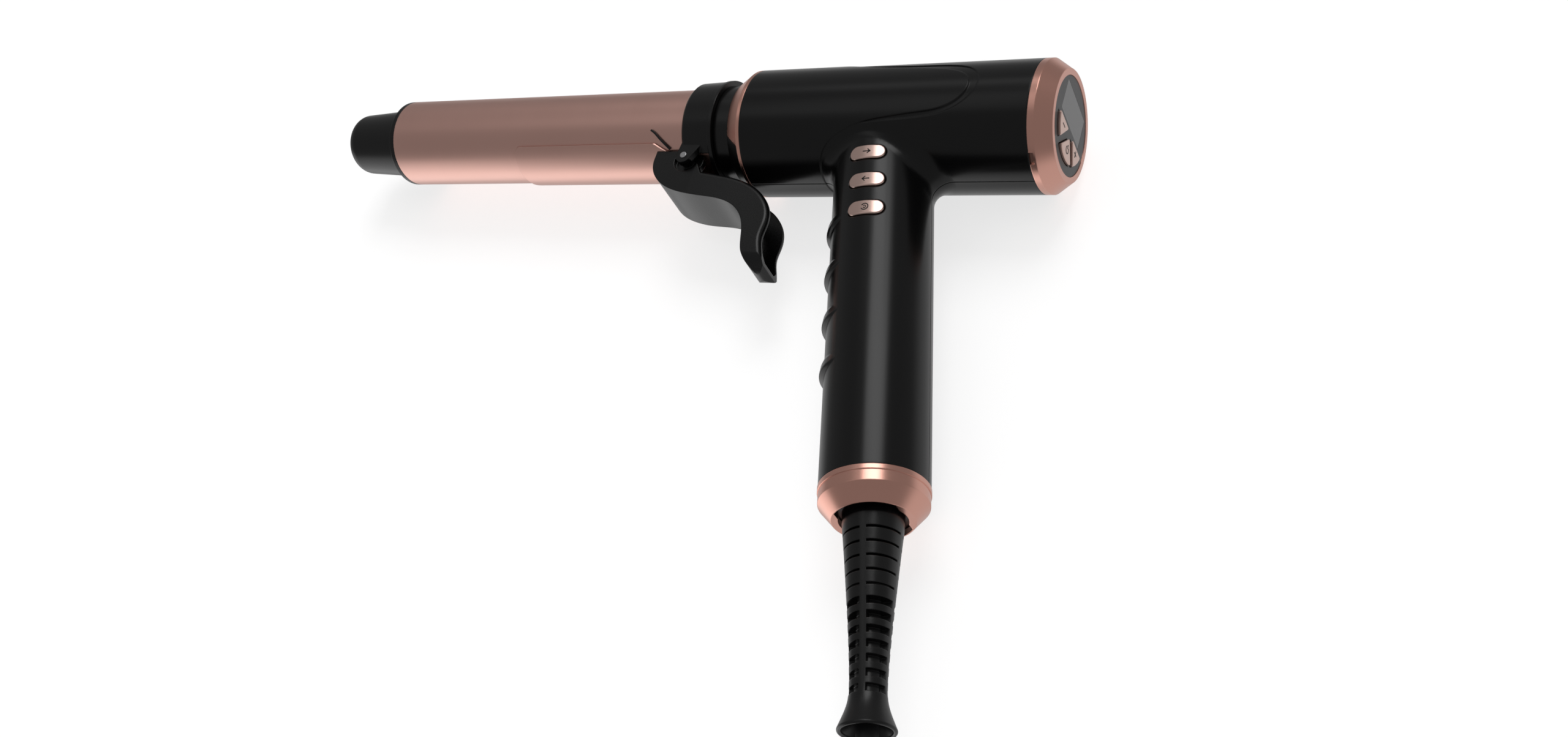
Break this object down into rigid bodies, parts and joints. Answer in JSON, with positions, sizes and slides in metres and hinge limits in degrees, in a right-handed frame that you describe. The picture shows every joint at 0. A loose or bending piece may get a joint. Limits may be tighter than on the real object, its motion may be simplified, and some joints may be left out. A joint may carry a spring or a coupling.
{
  "type": "curling iron",
  "caption": "Automatic curling iron with a powered rotating barrel, sprung clamp lever, raked handle, end display and swivel cord.",
  "frame": {"origin": "on the table under the middle of the appliance without its cord, the appliance lying on its side", "axes": "barrel axis along X with the tip towards -X and the display towards +X; the handle points towards -Y, leaning 13.8 degrees to +X; handle buttons face +Z"},
  "size_m": [0.3145, 0.4515, 0.0434],
  "materials": {
    "black_plastic": "satin moulded black plastic",
    "rose_gold_barrel": "satin rose-gold coated aluminium",
    "rose_gold_trim": "bright rose-gold metallised plastic",
    "panel_grey": "glossy dark grey plastic",
    "screen": "dark grey window",
    "steel": "bright steel",
    "zinc_screw": "zinc plated steel",
    "board_green": "green solder mask",
    "component_grey": "grey component case",
    "nylon_white": "natural acetal",
    "ceramic": "heater element",
    "raw_aluminium": "extruded aluminium",
    "carbon": "carbon brush",
    "brass": "turned brass",
    "boot_rubber": "soft black boot",
    "cord_rubber": "black cord jacket"
  },
  "bodies": {
    "handle": {"left_shell": "black_plastic", "right_shell": "black_plastic", "shell_screws": "zinc_screw", "front_bezel": "rose_gold_trim", "lever_stop": "black_plastic", "rear_bezel": "rose_gold_trim", "handle_end_ring": "rose_gold_trim", "display_panel": "panel_grey", "display_window": "screen", "display_board": "board_green", "lcd_module": "component_grey", "key_board": "board_green", "main_board": "board_green", "power_supply": "component_grey", "capacitor": "component_grey", "front_bush": "nylon_white", "bulkhead": "black_plastic", "rear_bush": "nylon_white", "gear_motor": "steel", "brush_block": "component_grey", "brushes": "carbon", "swivel_base": "nylon_white", "cord": "cord_rubber", "plug_lead": "cord_rubber", "cord_coil": "cord_rubber", "coil_tie": "nylon_white", "plug_body": "cord_rubber", "plug_pins": "brass"},
    "rotor": {"drive_hub": "black_plastic", "drive_gear": "nylon_white", "slip_rings": "brass", "barrel_tube": "rose_gold_barrel", "heat_spreader": "raw_aluminium", "heater": "ceramic", "temperature_sensor": "steel", "tip_flange": "black_plastic", "tip_cap": "black_plastic", "collar": "black_plastic", "pivot_pin": "steel", "clamp_spring": "steel"},
    "pinion": {"pinion": "nylon_white"},
    "lever": {"clamp_lever": "black_plastic", "clamp_plate": "rose_gold_barrel", "clamp_rivets": "steel"},
    "key_a": {"button_turn_a": "rose_gold_trim"},
    "key_b": {"button_turn_b": "rose_gold_trim"},
    "key_mode": {"button_mode": "rose_gold_trim"},
    "key_minus": {"button_minus": "rose_gold_trim"},
    "key_power": {"button_power": "rose_gold_trim"},
    "key_plus": {"button_plus": "rose_gold_trim"},
    "swivel": {"strain_relief": "boot_rubber", "swivel_contact": "brass"}
  },
  "joints": [
    {"name": "barrel_spin", "type": "hinge", "parent": "handle", "child": "rotor", "pos_m": [0.03185, 0.09087, 0.0217], "axis": [-1, 0, 0], "continuous": true},
    {"name": "pinion_spin", "type": "hinge", "parent": "handle", "child": "pinion", "pos_m": [0.05085, 0.10367, 0.0217], "axis": [-1, 0, 0], "continuous": true},
    {"name": "clamp_hinge", "type": "hinge", "parent": "rotor", "child": "lever", "pos_m": [0.01555, 0.07287, 0.0217], "axis": [0, 0, 1], "range_deg": [0, 11], "stiffness_Nm_per_rad": 0.5, "springref_deg": -11.46},
    {"name": "key_a_press", "type": "slide", "parent": "handle", "child": "key_a", "axis": [0, 0, -1], "range_m": [0, 0.0005], "stiffness_N_per_m": 1500, "springref_m": -0.0004},
    {"name": "key_b_press", "type": "slide", "parent": "handle", "child": "key_b", "axis": [0, 0, -1], "range_m": [0, 0.0005], "stiffness_N_per_m": 1500, "springref_m": -0.0004},
    {"name": "key_mode_press", "type": "slide", "parent": "handle", "child": "key_mode", "axis": [0, 0, -1], "range_m": [0, 0.0005], "stiffness_N_per_m": 1500, "springref_m": -0.0004},
    {"name": "key_minus_press", "type": "slide", "parent": "handle", "child": "key_minus", "axis": [-1, 0, 0], "range_m": [0, 0.0005], "stiffness_N_per_m": 1500, "springref_m": -0.0004},
    {"name": "key_power_press", "type": "slide", "parent": "handle", "child": "key_power", "axis": [-1, 0, 0], "range_m": [0, 0.0005], "stiffness_N_per_m": 1500, "springref_m": -0.0004},
    {"name": "key_plus_press", "type": "slide", "parent": "handle", "child": "key_plus", "axis": [-1, 0, 0], "range_m": [0, 0.0005], "stiffness_N_per_m": 1500, "springref_m": -0.0004},
    {"name": "cord_swivel", "type": "hinge", "parent": "handle", "child": "swivel", "pos_m": [0.11572, -0.04703, 0.0217], "axis": [0.2385, -0.9711, 0], "continuous": true}
  ],
  "couplings": [
    {"joint": "pinion_spin", "follows": "barrel_spin", "ratio": -3}
  ]
}
